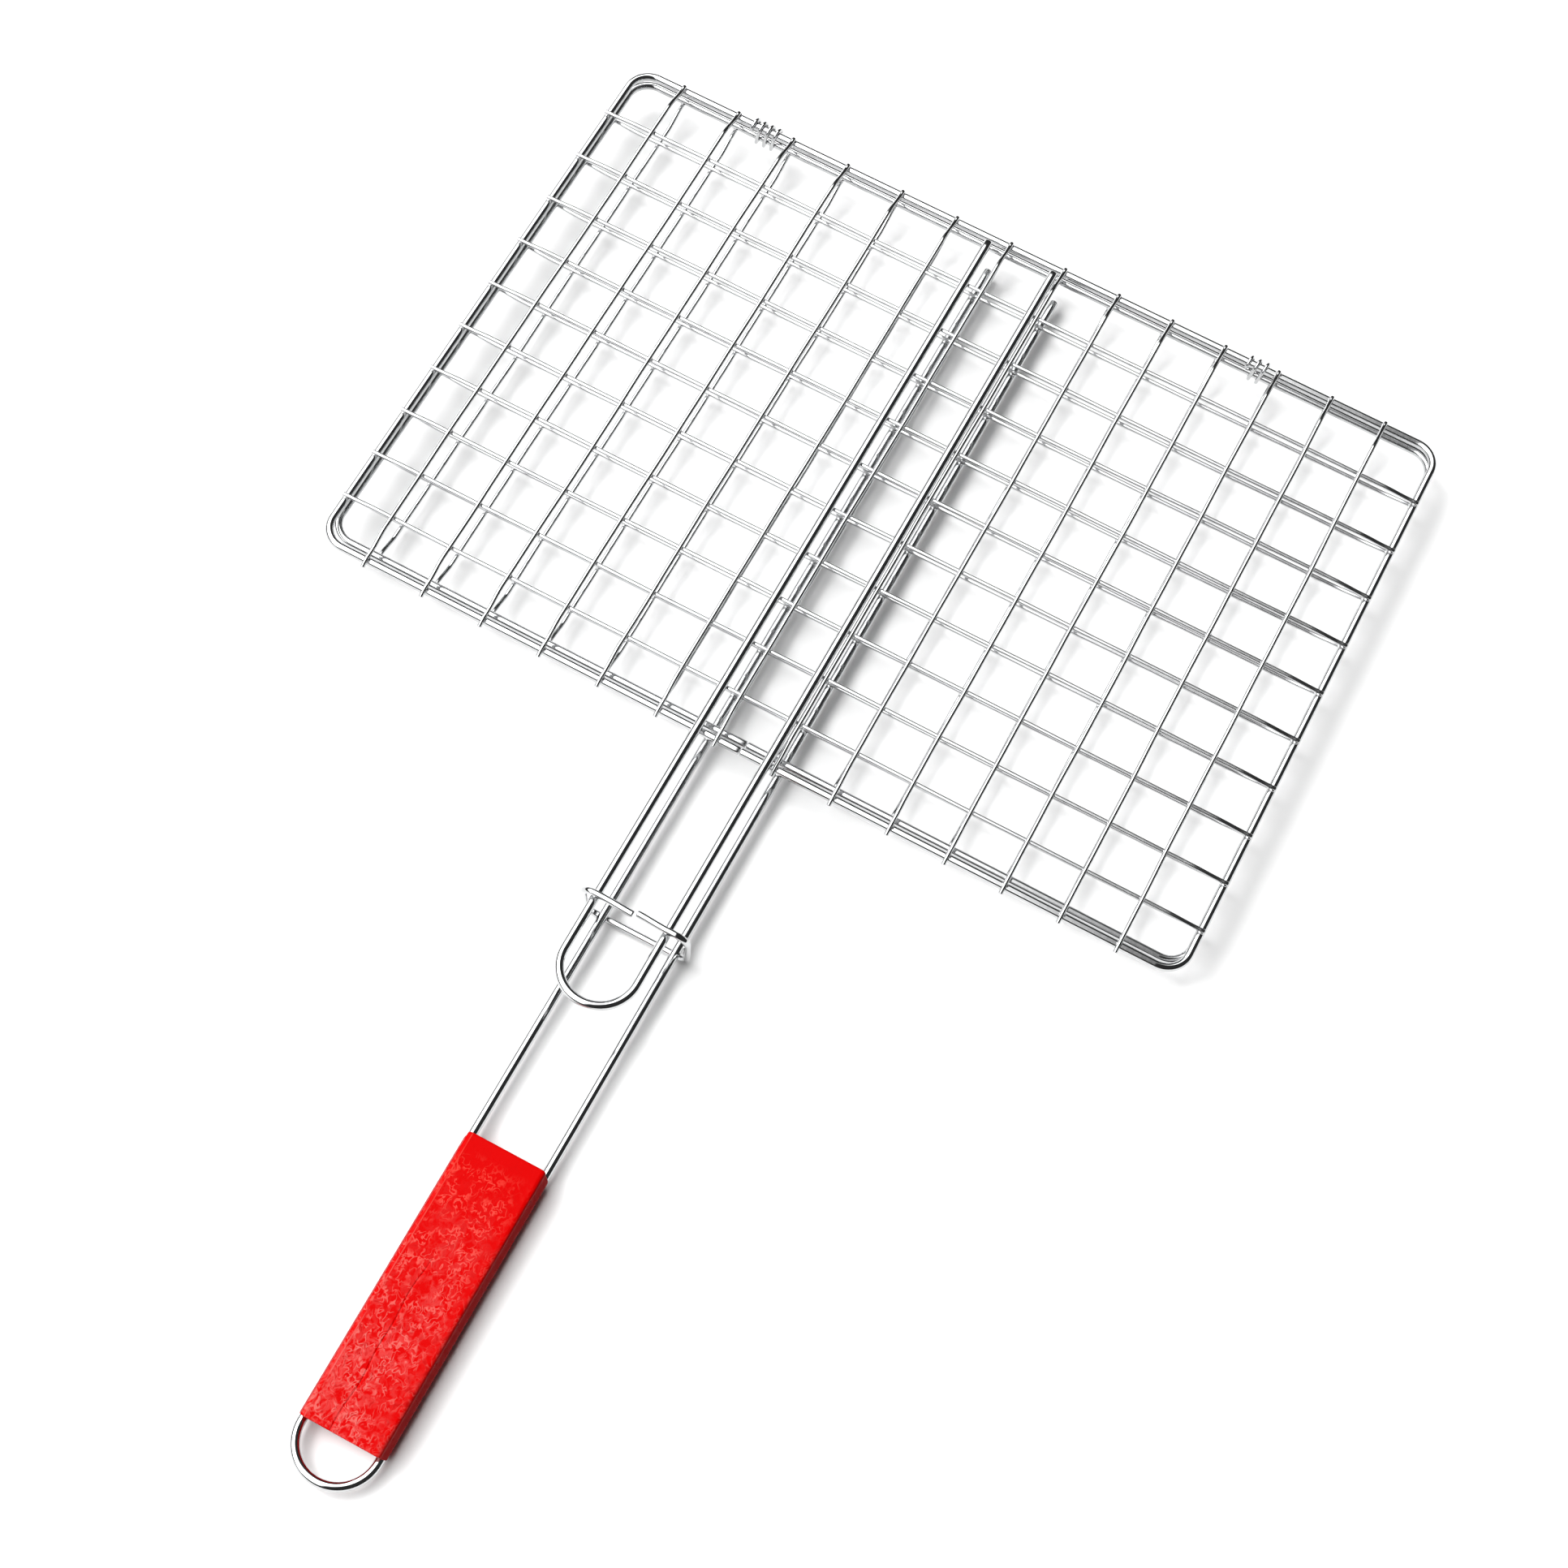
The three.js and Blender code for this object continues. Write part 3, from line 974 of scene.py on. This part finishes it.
def weld_places(panel, sizes):
    """Centres and half sizes of the welds: wire on wire, wire on frame and rod on cross wire."""
    centres, halves = [], []
    up = panel["up"]
    left, right, front, hinge = frame_inside(panel, sizes)
    crosses = [cross_wire_path(panel, n, sizes) for n in range(1, CROSS_WIRES + 1)]
    longs = [long_wire_path(panel, n, sizes) for n in range(1, LONG_WIRES + 1)]
    on_frame = frame_level(panel) + up * (sizes.frame_wire + sizes.weld_gap) / 2
    for path in longs:
        for cross in crosses:
            x = np.interp(-cross[0, 1], -path[:, 1], path[:, 0])
            y = np.interp(x, cross[:, 0], cross[:, 1])
            z = (np.interp(-y, -path[:, 1], path[:, 2]) + np.interp(x, cross[:, 0], cross[:, 2])) / 2
            centres.append((x, y, z))
            halves.append(WELD_ON_WIRE)
        for y in (front, hinge):
            x = np.interp(-y, -path[:, 1], path[:, 0])
            centres.append((x, y, on_frame))
            halves.append(WELD_ACROSS)
    for cross in crosses:
        for x in (left, right):
            y = np.interp(x, cross[:, 0], cross[:, 1])
            centres.append((x, y, on_frame))
            halves.append(WELD_ALONG)
    rod = "lid_rod" if up > 0 else "handle_rod"
    rod_level = middle_of(rod)[2]
    for cross in crosses:
        for x in rod_legs(rod, sizes):
            y = np.interp(x, cross[:, 0], cross[:, 1])
            wire_side = np.interp(x, cross[:, 0], cross[:, 2]) + up * sizes.mesh_wire / 2
            rod_side = rod_level - up * sizes.rod_wire / 2
            centres.append((x, y, (wire_side + rod_side) / 2))
            halves.append(WELD_ACROSS)
    centres, halves = np.array(centres), np.array(halves) * sizes.mesh_wire
    chance = np.random.default_rng(40 + int(up))
    halves *= 1 + WELD_SCATTER * chance.uniform(-1, 1, halves.shape)
    centres[:, :2] += WELD_SHIFT * chance.uniform(-1, 1, (len(centres), 2))
    return centres, halves


class BASKET_OT_welds(bpy.types.Operator):
    """Put a small weld wherever two wires of a panel touch"""

    bl_idname = "basket.welds"
    bl_label = "Welds"

    def execute(self, context):
        sizes = context.scene.basket_sizes
        for panel in PANELS:
            vertices, faces = weld_surface(*weld_places(panel, sizes))
            name = panel["prefix"] + "_welds"
            add_piece(name, vertices, faces, None, finish("weld"), panel["body"], "mesh_wire")
        return {"FINISHED"}


def grip_outline(sizes):
    """
    The grip across: a slat with eased edges, swelling a little at each side where the rod runs inside
    it, as points from the right side over the top to the left one and back along the bottom, measured
    from the middle of the grip. The top is closely spaced so that it can carry the crack.
    """
    low, high = box_of("grip")
    half_width = (high[0] - low[0]) / 2 - sizes.grip_slope
    bottom, top = low[2], high[2]
    edge = sizes.grip_edge
    rod_z = middle_of("handle_rod")[2]
    flat = half_width - edge

    def arc(x, z, start, end, count):
        angle = np.linspace(start, end, count)
        return np.stack([x + edge * np.cos(angle), z + edge * np.sin(angle)], axis=1)

    def side(right, start, end, count):
        """A side between two heights, which swells over the rod by a squared cosine of the height."""
        z = np.linspace(start, end, count + 2)[1:-1]
        reach = np.where(z > rod_z, top - edge - rod_z, rod_z - bottom - edge)
        swell = sizes.grip_swell * np.cos(math.pi / 2 * (z - rod_z) / reach) ** 2
        return np.stack([right * (half_width + swell), z], axis=1)

    quarter = math.pi / 2
    top_x = np.linspace(flat, -flat, 152)[1:-1]
    bottom_x = np.linspace(-flat, flat, 24)[1:-1]
    return np.concatenate([
        side(1, bottom + edge, top - edge, 16),
        arc(flat, top - edge, 0, quarter, 9),
        np.stack([top_x, np.full_like(top_x, top)], axis=1),
        arc(-flat, top - edge, quarter, 2 * quarter, 9),
        side(-1, top - edge, bottom + edge, 16),
        arc(-flat, bottom + edge, 2 * quarter, 3 * quarter, 7),
        np.stack([bottom_x, np.full_like(bottom_x, bottom)], axis=1),
        arc(flat, bottom + edge, -quarter, 0, 7),
    ])


def grip_surface(sizes):
    """
    The outline carried along Y. Near each end it draws in along a small quarter circle, and the ends
    are cut a little under, by a share of the depth below the top. The top swells gently along two
    sines, and sinks in a bell curve along a crack, which wanders left of the middle along two more.
    """
    low, high = box_of("grip")
    outline = grip_outline(sizes)
    middle_z = (low[2] + high[2]) / 2
    half_width = (high[0] - low[0]) / 2
    rim = GRIP_RIM
    near_end = rim * np.array([0, 0.08, 0.3, 0.6, 1])
    length = high[1] - low[1]
    inner = np.arange(rim + 0.5 * MM, length - rim - 0.3 * MM, 0.55 * MM)
    run = np.concatenate([near_end, inner, length - near_end[::-1]])
    to_end = np.minimum(run, length - run)
    short = np.clip(rim - to_end, 0, rim)
    inset = rim - np.sqrt(rim * rim - short * short)

    x = outline[None, :, 0] * (1 - inset[:, None] / half_width)
    z = middle_z + (outline[None, :, 1] - middle_z) * (1 - inset[:, None] / (middle_z - low[2]))
    depth = np.clip((high[2] - 0.8 * MM - z) / (high[2] - low[2]), 0, 1)
    pull = sizes.grip_undercut * depth
    y = high[1] - run[:, None] - pull * np.clip(1 - run / GRIP_END_REACH, 0, 1)[:, None]
    y = y + pull * np.clip(1 - (length - run) / GRIP_END_REACH, 0, 1)[:, None]
    on_top = smooth((z - (high[2] - 0.5 * MM)) / (0.4 * MM))

    share = run / length
    wander = 0.5 * MM * np.sin(9 * share) + 0.28 * MM * np.sin(31 * share + 1)
    crack_x = CRACK_LEFT + wander - 1.2 * MM * (share - 0.5)
    open_crack = smooth((share - 0.36) / 0.12)
    crack = open_crack[:, None] * np.exp(-(((x - crack_x[:, None]) / CRACK_WIDTH) ** 2))
    swell = 0.05 * MM * (
        np.sin(41 * share + 0.7)[:, None] + np.sin(230 * x + 1.0 + 4 * share[:, None])
    )
    z = z + on_top * (swell - 0.1 * MM - CRACK_DEPTH * crack)
    x = x + (low[0] + high[0]) / 2
    vertices = np.stack([x, y, z], axis=2).reshape(-1, 3)
    girth = np.linalg.norm(np.roll(outline, -1, axis=0) - outline, axis=1).sum()
    return vertices, *rolled_faces(len(run), len(outline), run, girth)


class BASKET_OT_grip(bpy.types.Operator):
    """Shape the wooden grip"""

    bl_idname = "basket.grip"
    bl_label = "Grip"

    def execute(self, context):
        sizes = context.scene.basket_sizes
        paint = finish("painted_grip")
        add_piece("slat_grip", *grip_surface(sizes), paint, LOWER, "painted_grip", ("grip",))
        return {"FINISHED"}


def studio_sky(stage):
    """
    A dark studio with one large soft light above on the left, the product of four S-shaped steps, one
    for each edge. Seen straight on, the studio's backdrop is as pale as the floor.
    """
    world = bpy.data.worlds.new("studio")
    bpy.context.scene.world = world
    world.use_nodes = True
    tree = world.node_tree
    background = tree.nodes["Background"]

    def math_node(operation, first, second):
        node = tree.nodes.new("ShaderNodeMath")
        node.operation = operation
        for socket, value in zip(node.inputs, (first, second)):
            if isinstance(value, bpy.types.NodeSocket):
                tree.links.new(value, socket)
            else:
                socket.default_value = value
        return node.outputs[0]

    def step(value, off, on):
        """0 at off, 1 at on, with a smooth S between."""
        node = tree.nodes.new("ShaderNodeMapRange")
        node.interpolation_type = "SMOOTHSTEP"
        rising = on > off
        node.inputs["From Min"].default_value = off if rising else on
        node.inputs["From Max"].default_value = on if rising else off
        node.inputs["To Min"].default_value = 0.0 if rising else 1.0
        node.inputs["To Max"].default_value = 1.0 if rising else 0.0
        tree.links.new(value, node.inputs["Value"])
        return node.outputs["Result"]

    direction = tree.nodes.new("ShaderNodeTexCoord").outputs["Generated"]
    parts = tree.nodes.new("ShaderNodeSeparateXYZ")
    tree.links.new(direction, parts.inputs[0])
    across = math_node("ARCTAN2", parts.outputs["X"], parts.outputs["Z"])
    left_to_right = math_node("MULTIPLY", step(across, *LIGHT_LEFT), step(across, *LIGHT_RIGHT))
    along = parts.outputs["Y"]
    back_to_front = math_node("MULTIPLY", step(along, *LIGHT_BACK), step(along, *LIGHT_FRONT))
    soft = math_node("MULTIPLY", left_to_right, back_to_front)
    light = math_node("ADD", math_node("MULTIPLY", soft, stage.sky_bright), stage.sky_dark)
    straight = tree.nodes.new("ShaderNodeLightPath").outputs["Is Camera Ray"]
    unseen = math_node("MULTIPLY", math_node("SUBTRACT", 1.0, straight), light)
    tree.links.new(math_node("ADD", straight, unseen), background.inputs["Strength"])
    background.inputs["Color"].default_value = (1.0, 1.0, 1.0, 1.0)


class BASKET_OT_stage(bpy.types.Operator):
    """Set the plain floor, the soft light and the camera"""

    bl_idname = "basket.stage"
    bl_label = "Stage"

    def execute(self, context):
        scene = context.scene
        stage = scene.basket_stage

        mesh = bpy.data.meshes.new("floor")
        far, below = FLOOR_REACH, cad_box[0].z - FLOOR_DROP
        corners = [(-far, -far, below), (far, -far, below), (far, far, below), (-far, far, below)]
        mesh.from_pydata(corners, [], [(0, 1, 2, 3)])
        floor = bpy.data.objects.new("floor", mesh)
        scene.collection.objects.link(floor)
        matt = Nodes("floor")
        matt.surface.inputs["Base Color"].default_value = rgba(stage.floor)
        matt.surface.inputs["Roughness"].default_value = 0.9
        matt.surface.inputs["Specular IOR Level"].default_value = 0.1
        mesh.materials.append(matt.material)

        light = bpy.data.lights.new("key", "SUN")
        light.energy = stage.key_strength
        light.angle = KEY_ANGLE
        key = bpy.data.objects.new("key", light)
        towards_key = Vector(KEY_DIRECTION).normalized()
        key.rotation_euler = towards_key.to_track_quat("Z", "Y").to_euler()
        scene.collection.objects.link(key)
        studio_sky(stage)

        lens = bpy.data.cameras.new("camera")
        lens.sensor_width = 36
        lens.lens = stage.lens
        lens.clip_start = 0.01
        camera = bpy.data.objects.new("camera", lens)
        hinge_line = box_of("lower_frame")[1][1] - scene.basket_sizes.frame_wire / 2
        between = (frame_level(PANELS[0]) + frame_level(PANELS[1])) / 2
        aim = Vector((AIM_RIGHT, hinge_line - AIM_BEFORE_HINGE, between))
        flat = math.cos(stage.elevation)
        back = Vector((
            math.sin(stage.azimuth) * flat,
            -math.cos(stage.azimuth) * flat,
            math.sin(stage.elevation),
        ))
        camera.location = aim + back * stage.distance
        camera.rotation_mode = "QUATERNION"
        camera.rotation_quaternion = back.to_track_quat("Z", "Y") @ Quaternion((0, 0, 1), stage.roll)
        scene.collection.objects.link(camera)
        scene.camera = camera
        scene.view_settings.view_transform = "Standard"
        return {"FINISHED"}


class BASKET_PT_panel(bpy.types.Panel):
    """Sizes, finishes and steps of the grill basket"""

    bl_idname = "BASKET_PT_panel"
    bl_label = "Grill Basket"
    bl_space_type = "VIEW_3D"
    bl_region_type = "UI"
    bl_category = "Grill Basket"

    def draw(self, context):
        layout = self.layout
        scene = context.scene
        for group in (scene.basket_sizes, scene.basket_finishes, scene.basket_stage):
            column = layout.box().column()
            for name in group.bl_rna.properties.keys():
                if name not in ("rna_type", "name"):
                    column.prop(group, name)
        column = layout.column()
        for step in STEPS:
            column.operator(step.bl_idname)


STEPS = (
    BASKET_OT_stage,
    BASKET_OT_frames,
    BASKET_OT_cross_wires,
    BASKET_OT_long_wires,
    BASKET_OT_welds,
    BASKET_OT_rods,
    BASKET_OT_grip,
    BASKET_OT_locking_ring,
    BASKET_OT_hinge_clips,
)
CLASSES = (BasketSizes, BasketFinishes, BasketStage, *STEPS, BASKET_PT_panel)


def register():
    for cls in CLASSES:
        bpy.utils.register_class(cls)
    bpy.types.Scene.basket_sizes = PointerProperty(type=BasketSizes)
    bpy.types.Scene.basket_finishes = PointerProperty(type=BasketFinishes)
    bpy.types.Scene.basket_stage = PointerProperty(type=BasketStage)


def unregister():
    del bpy.types.Scene.basket_stage
    del bpy.types.Scene.basket_finishes
    del bpy.types.Scene.basket_sizes
    for cls in reversed(CLASSES):
        bpy.utils.unregister_class(cls)


def main():
    register()
    bpy.ops.basket.stage()
    bpy.ops.basket.frames()
    bpy.ops.basket.cross_wires()
    bpy.ops.basket.long_wires()
    bpy.ops.basket.welds()
    bpy.ops.basket.rods()
    bpy.ops.basket.grip()
    bpy.ops.basket.locking_ring()
    bpy.ops.basket.hinge_clips()


if __name__ == "__main__":
    main()
